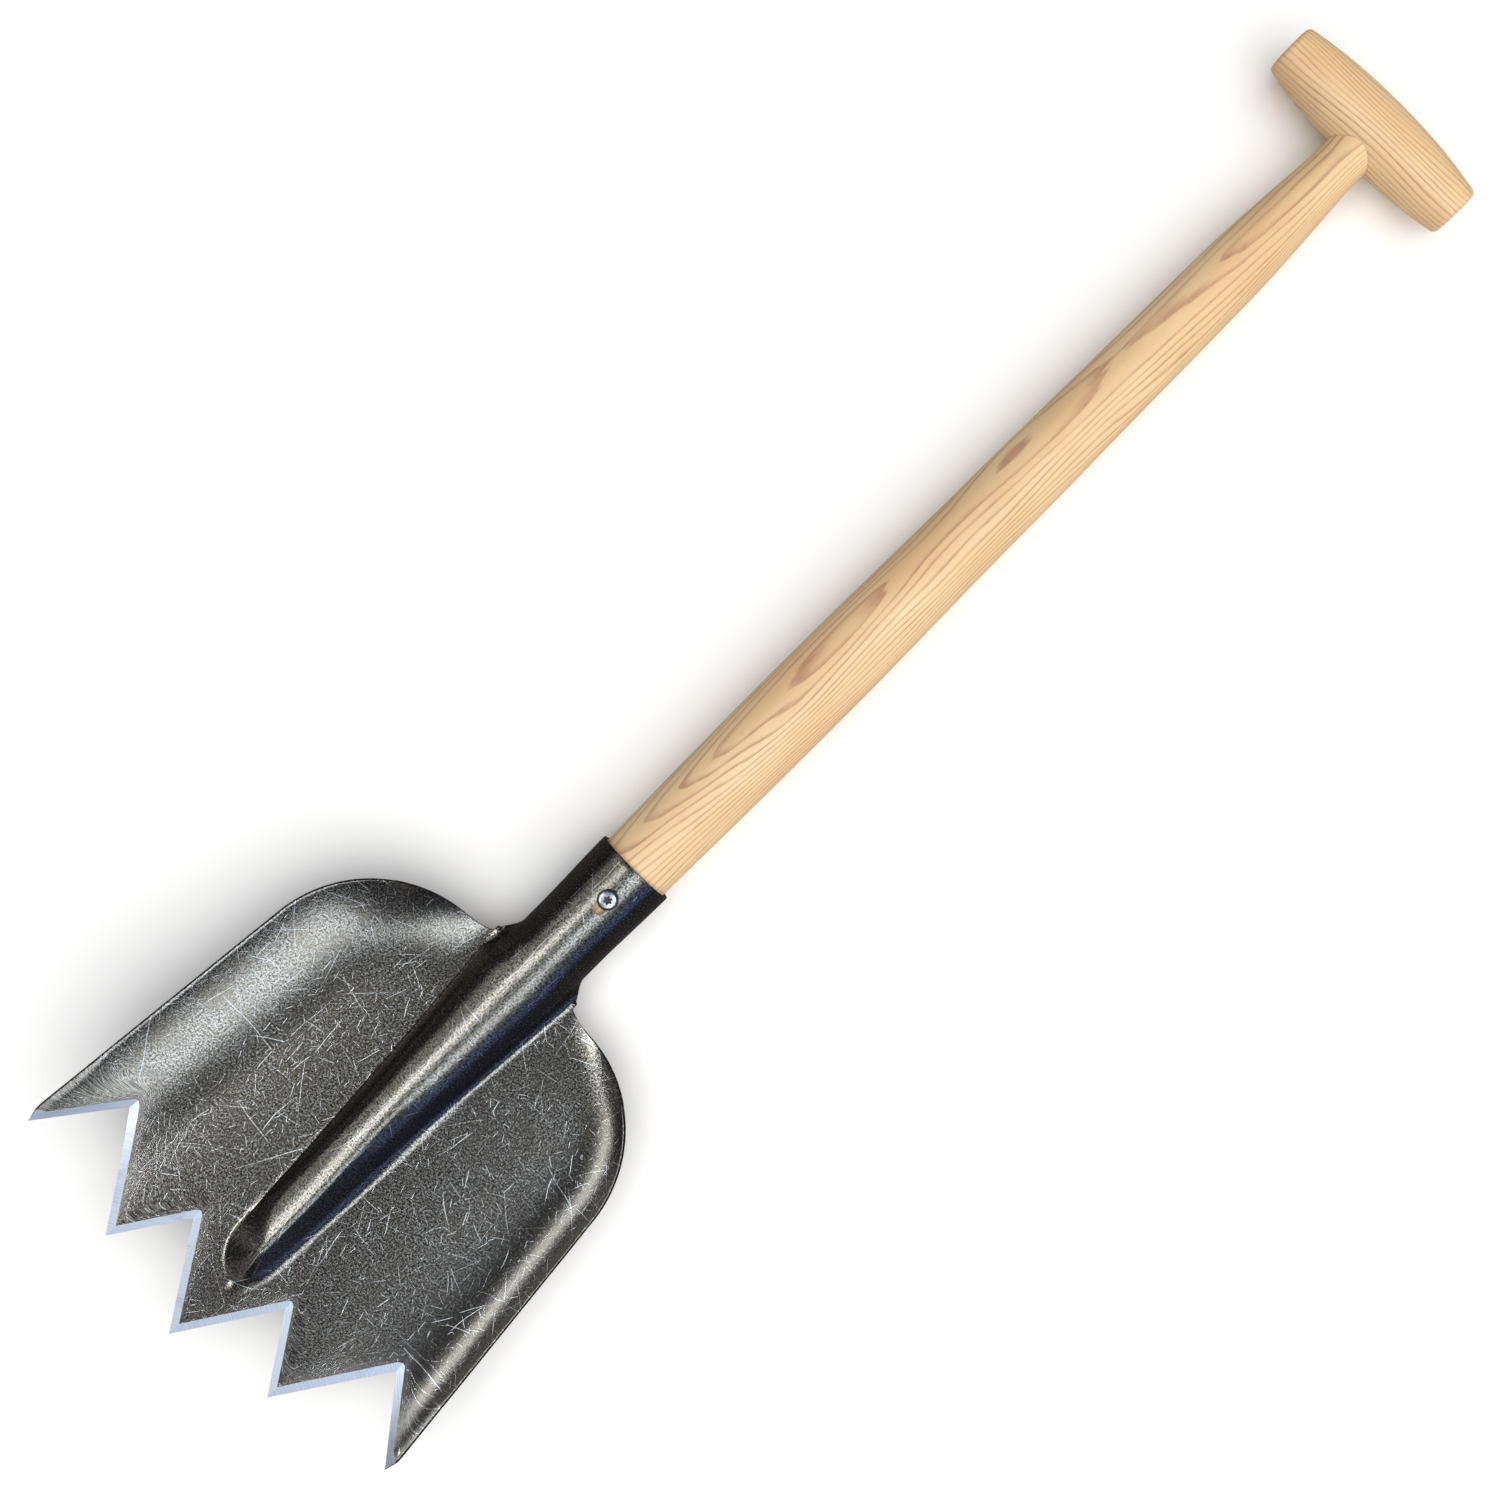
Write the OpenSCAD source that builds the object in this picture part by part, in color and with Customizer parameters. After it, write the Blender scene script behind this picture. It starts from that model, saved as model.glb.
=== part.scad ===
// Toothed digging shovel with a T-grip, lying on its back with the front of the blade up.
// Y runs along the tool, from the teeth to the grip. X is across and Z is up.
// The origin is under the middle of the tool, at its lowest level.

/* [Overall] */
// Length from the middle tooth to the far side of the grip
overall_l = 936; // [900:1:1000]
// Length of the blade from the middle tooth to the rim of the socket
blade_l = 349; // [330:1:370]
// Thickness of the steel sheet
sheet_t = 2.4; // [1.6:0.1:3]

/* [Socket] */
// Length from the rim of the socket to the root of the blade
socket_l = 82; // [70:1:95]
// Outer radius at the rim
rim_r = 24; // [23:0.1:26]
// Outer half-width where the socket is narrowest, before the blade
waist_half_w = 22.9; // [22:0.1:23.5]
// Distance from the rim to the waist
waist_from_rim = 52; // [40:1:60]
// Half the angle of the open seam at the back of the socket, in degrees
seam_half_angle = 1.8; // [1:0.1:4]
// Half the angle over which the seam is hammered flat, in degrees
seam_flat_angle = 16; // [10:1:22]

/* [Plate] */
// How far the plate rises towards the front, in degrees
plate_lift = 6; // [0:0.5:12]
// Level of the plate's front face at its root, from the axis of the shaft
plate_root_z = -0.5; // [-4:0.5:2]
// Radius of the round shoulders
shoulder_r = 74.8; // [65:0.1:85]
// Distance of the shoulder arc's centre from the middle line
shoulder_x = 43.6; // [35:0.1:50]
// Flare of the side edges towards the teeth, in degrees
side_flare = 5.5; // [0:0.5:8]
// Height that the side edges are dished up
dish_h = 13; // [0:0.5:20]
// Width of the dished band along each side
dish_w = 58; // [40:1:80]

/* [Ridge] */
// Height of the ridge above the plate at its root
ridge_root_h = 24.5; // [20:0.5:26]
// Height of the ridge where the nose begins
ridge_nose_h = 10.7; // [6:0.1:14]
// Half-width of the ridge's foot at its root
ridge_root_w = 30; // [28:0.5:32]
// Half-width of the ridge's foot at the nose
ridge_nose_w = 14.5; // [12:0.5:18]
// Distance from the root to the start of the nose
nose_start = 203; // [195:1:208]
// Length of the round nose
nose_l = 19; // [14:1:22]

/* [Teeth] */
// Depth of the valleys beside the middle tooth, from its tip
inner_valley_drop = 51; // [40:1:55]
// Distance of those valleys from the middle line
inner_valley_x = 34.5; // [30:0.5:38]
// How far the second teeth stand back from the middle tip
second_tip_drop = 12.6; // [8:0.1:18]
// Distance of the second tips from the middle line
second_tip_x = 61; // [56:0.5:66]
// Depth of the outer valleys
outer_valley_drop = 69; // [60:1:75]
// Distance of the outer valleys from the middle line
outer_valley_x = 100.2; // [94:0.1:106]
// How far the outer teeth stand back from the middle tip
outer_tip_drop = 30.6; // [24:0.1:36]
// How far the outer tips are rounded in from the side edges
outer_tip_ease = 3; // [0:0.1:4]
// Width of the ground bevel along the teeth
bevel_w = 4.4; // [3:0.1:6]
// Thickness left at the ground edge
edge_t = 0.5; // [0.3:0.1:1]

/* [Shaft] */
// Radius of the shaft at the rim of the socket
shaft_rim_r = 21.25; // [20:0.05:21.5]
// Radius of the thickest stretch, above the socket
swell_r = 22.5; // [21.5:0.1:23]
// Length of that straight stretch
swell_l = 60; // [40:1:80]
// Radius of the neck under the grip
neck_r = 13.7; // [12:0.1:15]
// Radius of the tenon through the grip
tenon_r = 11; // [9:0.5:12]
// Length of the tang inside the socket and ridge
tang_l = 140; // [100:5:150]

/* [Grip] */
// Length of the grip
grip_l = 127.4; // [115:0.1:140]
// Radius of the grip at its middle
grip_r = 19.8; // [18:0.1:21]
// Radius of the grip where its ends are rounded off
grip_end_r = 15; // [13:0.1:17]
// Radius of the rounding at each end
grip_corner_r = 3.4; // [2:0.1:5]

/* [Screw] */
// Distance of the screw from the rim of the socket
screw_from_rim = 21; // [15:1:35]
// How far the screw is turned from the middle line, in degrees
screw_turn = 4; // [0:1:8]
// Diameter of the pan head
head_d = 11.7; // [10:0.1:13]
// Height of the pan head
head_h = 3.9; // [3:0.1:5]
// Length of the shank under the head
shank_l = 23; // [16:1:23]
// Width of the slot in the socket
slot_w = 7; // [6:0.5:8]
// How far the slot runs on from the screw towards the blade
slot_reach = 6.6; // [3:0.1:9]

/* [Hidden] */

$fn = 72;
steel = [0.24, 0.22, 0.2];
ash = [0.88, 0.76, 0.57];
wedge_wood = [0.62, 0.45, 0.3];
zinc = [0.66, 0.67, 0.68];

// Places along Y
tip_y = -overall_l / 2;
rim_y = tip_y + blade_l;
root_y = rim_y - socket_l;
grip_y = overall_l / 2 - grip_r;
swell_y = rim_y + 97;
swell_end = swell_y + swell_l;
neck_y = grip_y - 26;
plate_l = blade_l - socket_l;

// Depth of the waist: the rolled sheet keeps its girth, so it deepens as it narrows
waist_half_h = rim_r + (rim_r - waist_half_w) * 0.6;
// The tool lies on the flat seam at the waist, which sets the height of the shaft's axis
axis_z = waist_half_h * cos(seam_flat_angle);

fit_gap = 0.1;
screw_y = rim_y - screw_from_rim;
wedge_l = 22;
wedge_tip_t = 1;
wedge_head_t = 3;
// How far a cut runs on past the piece it goes through
cut_over = 5;

// ---- Blade: one sheet, worked out as a grid of points on its front face ----

function mix(a, b, t) = a + (b - a) * t;
function clip(t) = max(0, min(1, t));
function ease(t) = let (c = clip(t)) c * c * (3 - 2 * c);

// Half-width of the plate at s, the distance from its root towards the teeth
shoulder_s = 76;
neck_start = -6;
tip_ease_l = 12;
side_start = shoulder_s - shoulder_r * sin(side_flare);
side_x = shoulder_x + shoulder_r * cos(side_flare);
root_half_w = ridge_root_w + 2;
outer_tip_s = plate_l - outer_tip_drop;
function plate_half_w(s) =
    s > side_start ? side_x + (s - side_start) * tan(side_flare)
        - outer_tip_ease * clip(1 - (outer_tip_s - s) / tip_ease_l) ^ 2 :
    s > shoulder_s - shoulder_r ? shoulder_x + sqrt(shoulder_r ^ 2 - (shoulder_s - s) ^ 2) :
    mix(root_half_w, shoulder_x,
        clip((s - neck_start) / (shoulder_s - shoulder_r - neck_start)) ^ 2);

// Distance in from the edge of the plate, round the shoulders and along the sides
function edge_distance(x, s) =
    s > shoulder_s ? shoulder_x + shoulder_r + (s - shoulder_s) * tan(side_flare) - x :
    x > shoulder_x ? shoulder_r - norm([x - shoulder_x, s - shoulder_s]) :
    s - shoulder_s + shoulder_r;

// Height of the plate's front face, dished up towards its sides. The dish fades out beside the ridge
dish_curve = 2.2;
dish_fade_x = 30;
dish_fade_l = 50;
function plate_z(x, s) =
    plate_root_z + s * tan(plate_lift)
    + dish_h * clip(1 - edge_distance(x, s) / dish_w) ^ dish_curve
    * ease((x - dish_fade_x) / dish_fade_l);

// The ridge's section: a round crown, a straight flank and a hollow fillet at its foot
ridge_run = 220;
ridge_curve = 1.3;
root_flank_angle = 75;
nose_flank_angle = 60;
root_fillet_r = 7;
nose_fillet_r = 4;
function ridge_w(s) =
    mix(ridge_nose_w, ridge_root_w, clip(1 - s / (ridge_run + 5)) ^ ridge_curve);
function ridge_h(s) = mix(ridge_root_h, ridge_nose_h, clip(s / nose_start));
function flank_angle(s) = mix(root_flank_angle, nose_flank_angle, clip(s / ridge_run));
function fillet_r(s) = mix(root_fillet_r, nose_fillet_r, clip(s / ridge_run));
function crown_r(s) =
    (ridge_w(s) - ridge_h(s) / tan(flank_angle(s))) / tan(flank_angle(s) / 2) - fillet_r(s);
function flank_l(s) =
    (ridge_h(s) - (crown_r(s) + fillet_r(s)) * (1 - cos(flank_angle(s)))) / sin(flank_angle(s));

// Point of the section at d, a length measured from the crest down to the foot
function ridge_girth(s) =
    (crown_r(s) + fillet_r(s)) * flank_angle(s) * PI / 180 + flank_l(s);
function ridge_point(s, d) =
    let (a = flank_angle(s), r = crown_r(s), f = fillet_r(s), l = flank_l(s),
         crown_d = r * a * PI / 180)
    d < crown_d ?
        let (t = d / r * 180 / PI) [r * sin(t), ridge_h(s) - r * (1 - cos(t))] :
    d < crown_d + l ?
        let (e = d - crown_d)
        [r * sin(a) + e * cos(a), ridge_h(s) - r * (1 - cos(a)) - e * sin(a)] :
        let (t = a - (d - crown_d - l) / f * 180 / PI)
        [ridge_w(s) - f * sin(t), f * (1 - cos(t))];

// Height of the section at the start of the nose, x from its crest
function nose_profile(x) =
    let (s = nose_start, a = flank_angle(s), r = crown_r(s), f = fillet_r(s), w = ridge_w(s))
    x >= w ? 0 :
    x > w - f * sin(a) ? f - sqrt(f ^ 2 - (w - x) ^ 2) :
    x > r * sin(a) ? f * (1 - cos(a)) + (w - f * sin(a) - x) * tan(a) :
    ridge_h(s) - r + sqrt(r ^ 2 - x ^ 2);
function nose_z(x, s) =
    nose_profile(ridge_w(nose_start) * norm([x / ridge_w(nose_start), (s - nose_start) / nose_l]));

// The working edge, as distances from the root: tips and valleys from the middle outwards
outer_tip_x = plate_half_w(outer_tip_s);
tooth_x = [0, inner_valley_x, second_tip_x, outer_valley_x, outer_tip_x];
tooth_drop = [0, inner_valley_drop, second_tip_drop, outer_valley_drop, outer_tip_drop];
function tooth_s(x) = plate_l - lookup(x, [for (i = [0:4]) [tooth_x[i], tooth_drop[i]]]);

// Columns of the grid: down the ridge, then out across the plate through each tip and valley
ridge_cols = 9;
cols_to_tooth = [0, 3, 4, 5, 4];
tooth_first_x = concat([ridge_w(nose_start)], [for (i = [1:4]) tooth_x[i]]);
plate_edge_x = [for (i = [1:4], k = [1:cols_to_tooth[i]])
    mix(tooth_first_x[i - 1], tooth_first_x[i], k / cols_to_tooth[i])];
plate_cols = len(plate_edge_x);
side_cols = ridge_cols + plate_cols;
function plate_share(k) =
    k == 0 ? 0 : (plate_edge_x[k - 1] - tooth_first_x[0]) / (outer_tip_x - tooth_first_x[0]);

// Rows of the grid, as distances from the root: socket, neck, shoulders and plate
fan_start = 180;
fan_l = 44;
socket_rows = [-socket_l, -66, -50, -34, -24];
neck_rows = [-19, -17, -15, -13, -11, -9, -7, -5, -3, -1.5, 0];
shoulder_angles = concat([84, 77], [for (a = [70:-8:6]) a]);
shoulder_rows = [for (a = shoulder_angles) shoulder_s - shoulder_r * sin(a)];
middle_rows = [for (s = [80:20:fan_start]) s];
rows = concat(socket_rows, neck_rows, shoulder_rows, middle_rows);
nose_rows = [0.25, 0.5, 0.66, 0.78, 0.86, 0.92, 0.97, 1];
tooth_rows = [0.5, 1];

// Column j of half a row: [distance across, height above the axis]
function socket_point(s, j) =
    let (narrow = ease((s + socket_l) / waist_from_rim),
         a = j <= ridge_cols ? 90 * j / ridge_cols :
             90 + (90 - seam_half_angle) * plate_share(j - ridge_cols))
    [mix(rim_r, waist_half_w, narrow) * sin(a),
        mix(rim_r, waist_half_h, narrow) * max(cos(a), -cos(seam_flat_angle))];
function plate_point(s, j) =
    j <= ridge_cols ?
        let (p = ridge_point(max(s, 0), ridge_girth(max(s, 0)) * j / ridge_cols))
        [p[0], p[1] + plate_z(p[0], max(s, 0))] :
        let (x = mix(ridge_w(max(s, 0)), plate_half_w(s), plate_share(j - ridge_cols)))
        [x, plate_z(x, max(s, 0))];
roll_start = -3;
roll_l = 16;
function rolled(s) = ease((roll_start - s) / roll_l);
function row_point(s, j) =
    let (p = mix(plate_point(s, j), socket_point(s, j), rolled(s))) [p[0], root_y - s, p[1]];

// Rows that fan out to the teeth keep their columns straight
fan_blend_l = 20;
fan_most = 0.75;
bevel_run = bevel_w / sin(atan(inner_valley_x / inner_valley_drop));
function column_x(j) =
    j <= ridge_cols ? ridge_point(nose_start, ridge_girth(nose_start) * j / ridge_cols)[0] :
    plate_edge_x[j - ridge_cols - 1];
function flared_x(j, s) =
    j <= ridge_cols ? column_x(j) :
    let (share = plate_share(j - ridge_cols))
    share == 1 ? plate_half_w(s) :
    column_x(j) - share * tan(side_flare) * (tooth_s(column_x(j)) - s);
function fan_s(x, nose_part, tooth_part) =
    let (last = tooth_s(x) - bevel_run, middle = min(fan_l, fan_most * (last - fan_start)))
    mix(fan_start + middle * nose_part, last, tooth_part);
function fan_point(j, s) =
    let (part = ease((s - fan_start) / fan_blend_l), x = mix(plate_point(s, j)[0], flared_x(j, s), part),
         top = j <= ridge_cols && s <= nose_start ? mix(plate_point(s, j)[1],
             plate_z(x, s) + nose_profile(x * ridge_w(nose_start) / ridge_w(s))
             * ridge_h(s) / ridge_h(nose_start), part) :
             plate_z(x, s) + (s > nose_start ? nose_z(x, s) : 0))
    [x, root_y - s, top];

half_rows = concat(
    [for (s = rows) [for (j = [0:side_cols]) row_point(s, j)]],
    [for (n = nose_rows) [for (j = [0:side_cols]) fan_point(j, fan_s(column_x(j), n, 0))]],
    [for (t = tooth_rows) [for (j = [0:side_cols]) fan_point(j, fan_s(column_x(j), 1, t))]],
    [[for (j = [0:side_cols]) fan_point(j, tooth_s(column_x(j)))]]);
row_count = len(half_rows);
col_count = 2 * side_cols + 1;

function mirrored(row) = concat(
    [for (j = [side_cols:-1:1]) [-row[j][0], row[j][1], row[j][2]]], [for (j = [0:side_cols]) row[j]]);
sheet = [for (row = half_rows) mirrored(row)];

function unit(v) = v / norm(v);
function face_normal(i, j) =
    let (along = sheet[min(i + 1, row_count - 1)][j] - sheet[max(i - 1, 0)][j],
         across = sheet[i][min(j + 1, col_count - 1)] - sheet[i][max(j - 1, 0)])
    unit(cross(across, -along));

// The last row is ground: its front face comes down almost to the back
function ground(i) = i == row_count - 1 ? sheet_t - edge_t : 0;
front = [for (i = [0:row_count - 1], j = [0:col_count - 1])
    sheet[i][j] - ground(i) * face_normal(i, j)];
back = [for (i = [0:row_count - 1], j = [0:col_count - 1])
    sheet[i][j] - sheet_t * face_normal(i, j)];

function at(i, j) = i * col_count + j;
function pair(a, b, c, d) = [[a, b, c], [a, c, d]];
function flat_list(lists) = [for (l = lists) each l];
under = row_count * col_count;
front_faces = flat_list([for (i = [0:row_count - 2], j = [0:col_count - 2])
    pair(at(i, j), at(i, j + 1), at(i + 1, j + 1), at(i + 1, j))]);
back_faces = flat_list([for (i = [0:row_count - 2], j = [0:col_count - 2])
    pair(under + at(i, j), under + at(i + 1, j), under + at(i + 1, j + 1), under + at(i, j + 1))]);
side_faces = flat_list([for (i = [0:row_count - 2])
    concat(pair(at(i, 0), at(i + 1, 0), under + at(i + 1, 0), under + at(i, 0)),
        pair(at(i + 1, col_count - 1), at(i, col_count - 1),
            under + at(i, col_count - 1), under + at(i + 1, col_count - 1)))]);
end_faces = flat_list([for (j = [0:col_count - 2])
    concat(pair(at(0, j + 1), at(0, j), under + at(0, j), under + at(0, j + 1)),
        pair(at(row_count - 1, j), at(row_count - 1, j + 1),
            under + at(row_count - 1, j + 1), under + at(row_count - 1, j)))]);

module sheet_solid()
    polyhedron(points = concat(front, back),
        faces = concat(front_faces, back_faces, side_faces, end_faces), convexity = 10);

// Round-ended slot for the screw, longer towards the blade
module screw_slot()
    translate([0, screw_y, rim_r / 2]) {
        for (e = [-slot_reach, 0]) translate([0, e, 0]) cylinder(h = rim_r, d = slot_w);
        translate([-slot_w / 2, -slot_reach, 0]) cube([slot_w, slot_reach, rim_r]);
    }

module blade()
    color(steel)
    translate([0, 0, axis_z])
    difference() {
        sheet_solid();
        rotate([0, screw_turn, 0]) screw_slot();
    }

// ---- Shaft ----

// Radius of the shaft from the end of the swell to the neck, as [distance, radius]
shaft_stations = [[0, swell_r], [30, 22.1], [95, 21], [150, 20.6], [204, 19.7], [259, 19.1],
    [303, 18.4], [324, 17.5], [346, 16.1], [368, 14.5], [neck_y - swell_end, neck_r]];
// Radius of the tang and of the shaft up to the swell, as [distance from the rim, radius]
tang_stations = [[-tang_l, 9], [-tang_l + 3, 11.5], [-110, 15], [-82, 18.5], [-62, 19.7],
    [-42, 20.15], [-20, 20.8], [0, shaft_rim_r], [34, 21.8], [60, 22.15], [swell_y - rim_y, swell_r]];
function curve_at(stations, y) =
    let (n = len(stations) - 1, k = max([for (i = [0:n - 1]) if (stations[i][0] <= y) i]),
         a = stations[k], b = stations[k + 1], t = (y - a[0]) / (b[0] - a[0]),
         before = stations[max(k - 1, 0)], after = stations[min(k + 2, n)],
         slope_a = (b[1] - before[1]) / (b[0] - before[0]) * (b[0] - a[0]),
         slope_b = (after[1] - a[1]) / (after[0] - a[0]) * (b[0] - a[0]))
    (2 * t ^ 3 - 3 * t ^ 2 + 1) * a[1] + (t ^ 3 - 2 * t ^ 2 + t) * slope_a
    + (3 * t ^ 2 - 2 * t ^ 3) * b[1] + (t ^ 3 - t ^ 2) * slope_b;

// Outline of the shaft as [radius, Y]
shaft_outline = concat(
    [[0, rim_y - tang_l]],
    [for (s = tang_stations) [s[1], rim_y + s[0]]],
    [for (s = [0:12:neck_y - swell_end]) [curve_at(shaft_stations, s), swell_end + s]],
    [[neck_r, neck_y], [neck_r + 0.3, grip_y], [0, grip_y]]);

module along_y() rotate([-90, 0, 0]) children();

module grip_barrel(extra = 0)
    rotate([0, 90, 0]) rotate_extrude() polygon(grip_outline(extra));

// Thin wedge, thick at the far side of the grip
module wedge_shape(gap = 0)
    translate([0, grip_y + grip_r - wedge_l, 0])
        linear_extrude(height = 2 * (tenon_r + cut_over), center = true)
            polygon([[-wedge_tip_t / 2 - gap, -gap], [wedge_tip_t / 2 + gap, -gap],
                [wedge_head_t / 2 + gap, wedge_l + 2], [-wedge_head_t / 2 - gap, wedge_l + 2]]);

// The tenon goes right through the grip and is sanded flush with its far side
module tenon()
    intersection() {
        translate([0, neck_y, 0]) along_y() cylinder(h = grip_y + grip_r + cut_over - neck_y, r = tenon_r);
        union() {
            translate([0, grip_y, 0]) grip_barrel();
            along_y() cylinder(h = grip_y, r = tenon_r + 1);
        }
    }

module screw_axis() rotate([0, screw_turn, 0]) translate([0, screw_y, 0]) children();

module shaft()
    color(ash)
    translate([0, 0, axis_z]) {
        difference() {
            union() {
                difference() {
                    along_y() rotate_extrude() polygon(shaft_outline);
                    translate([0, grip_y, 0]) grip_barrel(fit_gap);
                }
                tenon();
            }
            wedge_shape(fit_gap);
            screw_axis() cylinder(h = swell_r + cut_over, r = thread_r + 2 * fit_gap);
        }
    }

// ---- Grip ----

// Half the barrel's outline, from the middle to the rounded end, as [radius, distance]
round_start = grip_l / 2 - grip_corner_r;
function barrel_r(x) = mix(grip_r, grip_end_r, (x / round_start) ^ 2.2);
function grip_outline(extra = 0) =
    let (side = [for (k = [0:12]) [barrel_r(round_start * k / 12) + extra, round_start * k / 12]],
         corner = [for (a = [15:15:90]) [grip_end_r - grip_corner_r * (1 - cos(a)) + extra,
             round_start + grip_corner_r * sin(a) + extra * sin(a)]],
         half = concat(side, corner))
    concat([[0, -grip_l / 2 - extra]], [for (k = [len(half) - 1:-1:1]) [half[k][0], -half[k][1]]],
        half, [[0, grip_l / 2 + extra]]);

module grip()
    color(ash)
    translate([0, grip_y, axis_z])
    difference() {
        grip_barrel();
        along_y() translate([0, 0, -grip_r - cut_over])
            cylinder(h = 2 * (grip_r + cut_over), r = tenon_r + fit_gap);
    }

module grip_wedge()
    color(wedge_wood)
    translate([0, 0, axis_z])
    intersection() {
        wedge_shape();
        tenon();
    }

// ---- Screw ----

head_round = 2.2;
head_crown = 0.95;
head_sink = 0.2;
recess_depth = 2;
recess_r = 1.85;
lobe_from_middle = 1.9;
lobe_r = 0.62;

// Six round lobes for the driver
module six_lobe() {
    cylinder(h = head_h, r = recess_r);
    for (a = [0:60:300]) rotate(a) translate([lobe_from_middle, 0, 0]) cylinder(h = head_h, r = lobe_r);
}

// Ridges of the thread along the shank, as [radius, height]
thread_start = 4;
thread_pitch = 2.4;
thread_core_r = 1.7;
thread_r = 2.4;
thread_rise_l = 0.9;
shank_r = 2.1;
shank_outline = concat([[0, 0], [shank_r, 0]],
    [for (k = [0:6]) let (z = -thread_start - k * thread_pitch) each
        [[thread_core_r, z], [thread_r, z - thread_rise_l], [thread_core_r, z - 2 * thread_rise_l]]],
    [[0, -shank_l]]);

// Outline of the pan head, rounded at its rim and slightly crowned, as [radius, height]
head_outline = concat([[0, 0]],
    [for (a = [-20:10:90]) [head_d / 2 - head_round * (1 - cos(a)),
        head_h - head_round - head_crown + head_round * sin(a) + head_crown * sin(max(a, 0))]],
    [[0, head_h]]);

module socket_screw()
    color(zinc)
    translate([0, 0, axis_z])
    screw_axis()
    translate([0, 0, rim_r - head_sink]) {
        difference() {
            rotate_extrude() polygon(head_outline);
            translate([0, 0, head_h - recess_depth]) six_lobe();
        }
        rotate_extrude() polygon(shank_outline);
    }

blade();
shaft();
grip();
grip_wedge();
socket_screw();
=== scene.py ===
import math

import bpy
import numpy as np
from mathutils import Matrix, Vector


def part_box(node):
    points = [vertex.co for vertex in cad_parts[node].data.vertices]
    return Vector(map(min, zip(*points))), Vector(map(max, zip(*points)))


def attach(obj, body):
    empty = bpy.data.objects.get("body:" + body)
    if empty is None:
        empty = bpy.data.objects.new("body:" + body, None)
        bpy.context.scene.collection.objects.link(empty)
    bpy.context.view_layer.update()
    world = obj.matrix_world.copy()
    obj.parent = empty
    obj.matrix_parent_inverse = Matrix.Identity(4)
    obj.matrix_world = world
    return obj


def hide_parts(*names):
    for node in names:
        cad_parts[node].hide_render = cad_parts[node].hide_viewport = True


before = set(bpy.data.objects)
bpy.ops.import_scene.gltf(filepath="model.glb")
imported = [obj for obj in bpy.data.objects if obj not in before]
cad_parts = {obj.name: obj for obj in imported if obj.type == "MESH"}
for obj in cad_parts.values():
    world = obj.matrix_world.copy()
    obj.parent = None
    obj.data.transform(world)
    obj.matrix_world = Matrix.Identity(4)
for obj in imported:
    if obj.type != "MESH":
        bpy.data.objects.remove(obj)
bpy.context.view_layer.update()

# ---- Blade ----
# One sheet of steel, pressed hot between dies: a flat plate dished up at its sides, five ground
# teeth, and a hollow ridge that runs on into a socket rolled from the same sheet. Its skin is dark
# mill scale, dulled and covered in fine scratches, and only the ground bevels are bright.

mm = 0.001
blade_low, blade_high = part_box("blade")
shaft_low, shaft_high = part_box("shaft")
axis_z = (shaft_low.z + shaft_high.z) / 2
rim_y = blade_high.y

# Sizes of the sheet, in millimetres
sheet_t = 2.4
edge_t = 0.5
dressed_edge = 0.5
blade_l = (blade_high.y - blade_low.y) / mm
socket_l = 82
plate_l = blade_l - socket_l
rim_r = 24
waist_half_w = 22.9
waist_half_h = rim_r + (rim_r - waist_half_w) * 0.6
waist_from_rim = 52
seam_half_angle = math.radians(1.8)
seam_flat_angle = math.radians(16)
plate_lift = math.tan(math.radians(6))
plate_root_z = -0.5
neck_gap = 0.6
neck_start = -3
neck_l = 4.2
roll_start = 3
roll_l = 16
shoulder_s = 76
shoulder_r = 74.8
shoulder_x = 43.6
flare = math.radians(5.5)
dish_h = 13
dish_w = 58
dish_curl = 2.2
right_dish_h = 6.5
right_dish_w = 34
right_dish_curl = 3.2
dish_start_x = 30
dish_fade_w = 50

# Sizes of the ridge, in millimetres: rounded near the socket, with two faces further down
ridge_root_h = 24.5
ridge_nose_h = 10.7
ridge_root_w = 30
ridge_nose_w = 14.5
ridge_taper_l = 225
ridge_taper = 1.3
section_l = 220
root_flank_angle = 75
nose_flank_angle = 60
root_foot_r = 7
nose_foot_r = 4
left_foot_r = 0.4
crease_start = -4
crease_l = 12
facet_start = 60
facet_l = 110
crest_shift = 4.6
crest_blend = 2.4
crest_merge_w = 5
crown_slope = math.tan(math.radians(8.5))
crown_w = 5
crown_bend = 0.02
flank_slope = math.tan(math.radians(58))
flank_blend = 3.4
left_foot_blend = 0.4
right_foot_blend = 4.0
nose_start = 200
nose_l = 24
nose_slope = 0.6
nose_slope_start = 168
nose_slope_l = 36

# Sizes of the teeth, in millimetres
bevel_w = 4.4
valley_ease = 1.9
outer_tip_drop = 30.6
outer_tip_ease = 3
outer_tip_l = 12


def mix(first, second, share):
    """The value that lies a share of the way from the first to the second."""
    return first + (second - first) * share


def clip(share):
    return max(0.0, min(1.0, share))


def ease(share):
    share = clip(share)
    return share * share * (3 - 2 * share)


side_start = shoulder_s - shoulder_r * math.sin(flare)
side_x = shoulder_x + shoulder_r * math.cos(flare)
outer_tip_s = plate_l - outer_tip_drop


def plate_half_width(s):
    """Half the width of the plate at s, the distance from its root towards the teeth."""
    if s > side_start:
        eased = outer_tip_ease * clip(1 - (outer_tip_s - s) / outer_tip_l) ** 2
        return side_x + (s - side_start) * math.tan(flare) - eased
    if s > shoulder_s - shoulder_r:
        return shoulder_x + math.sqrt(shoulder_r**2 - (shoulder_s - s) ** 2)
    return mix(ridge_root_w + neck_gap, shoulder_x, clip((s - neck_start) / neck_l) ** 2)


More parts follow.
